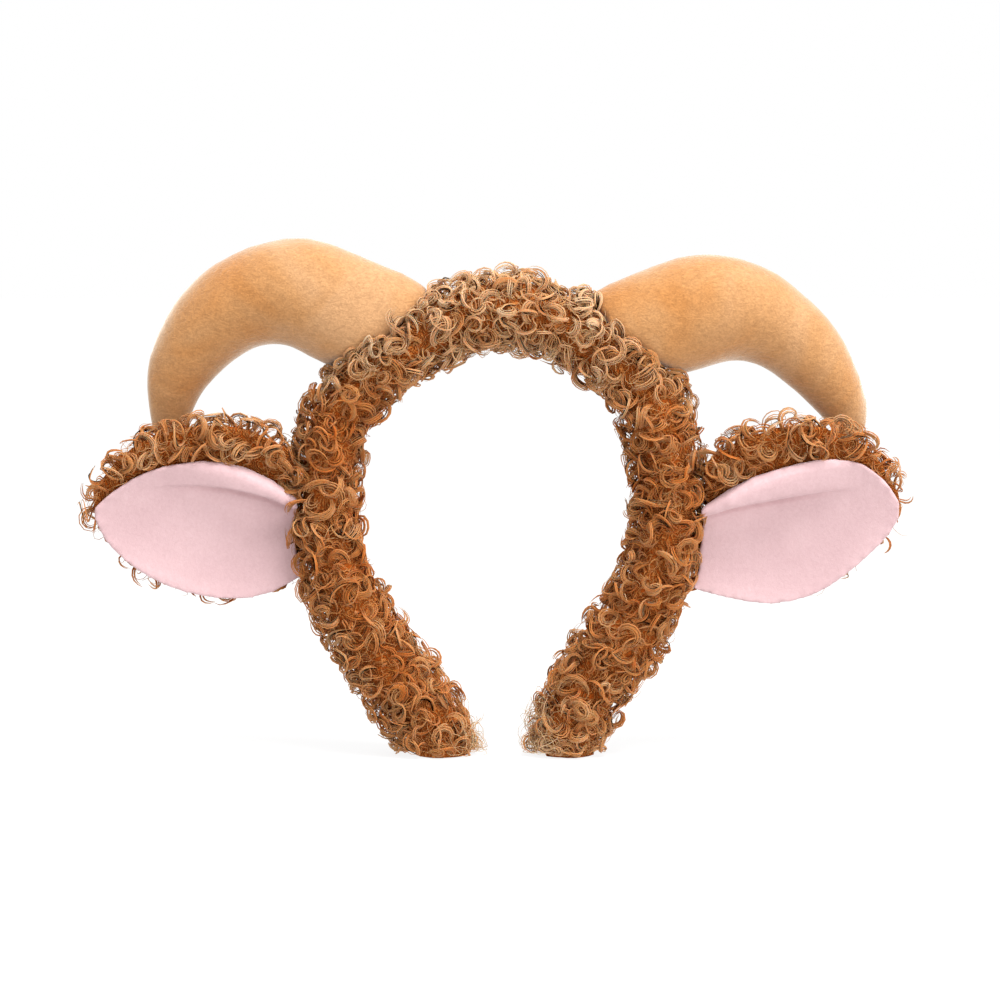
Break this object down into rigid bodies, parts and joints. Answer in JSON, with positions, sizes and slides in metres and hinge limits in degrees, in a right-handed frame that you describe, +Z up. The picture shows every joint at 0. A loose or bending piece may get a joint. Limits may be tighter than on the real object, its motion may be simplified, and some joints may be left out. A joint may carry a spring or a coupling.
{
  "type": "ram horns headband",
  "caption": "Curly plush costume headband with stuffed ram horns that curl out and down, and lop ears lined in soft velour.",
  "frame": {"origin": "on the floor, under the middle of the whole object's box", "axes": "+Z up from the ends to the crown, -Y towards the face's front, +X from the left ear to the right ear as seen from the front"},
  "size_m": [0.307, 0.0426, 0.1961],
  "materials": {
    "curly_plush": "deep boucle pile in brown ringlets",
    "horn_velour": "short-nap camel velour, stuffed firm",
    "ear_velour": "fine pale pink velour"
  },
  "bodies": {
    "root": {"curly_band": "curly_plush", "horn_left": "horn_velour", "horn_right": "horn_velour", "ear_back_left": "curly_plush", "ear_back_right": "curly_plush", "ear_lining_left": "ear_velour", "ear_lining_right": "ear_velour"}
  },
  "joints": []
}
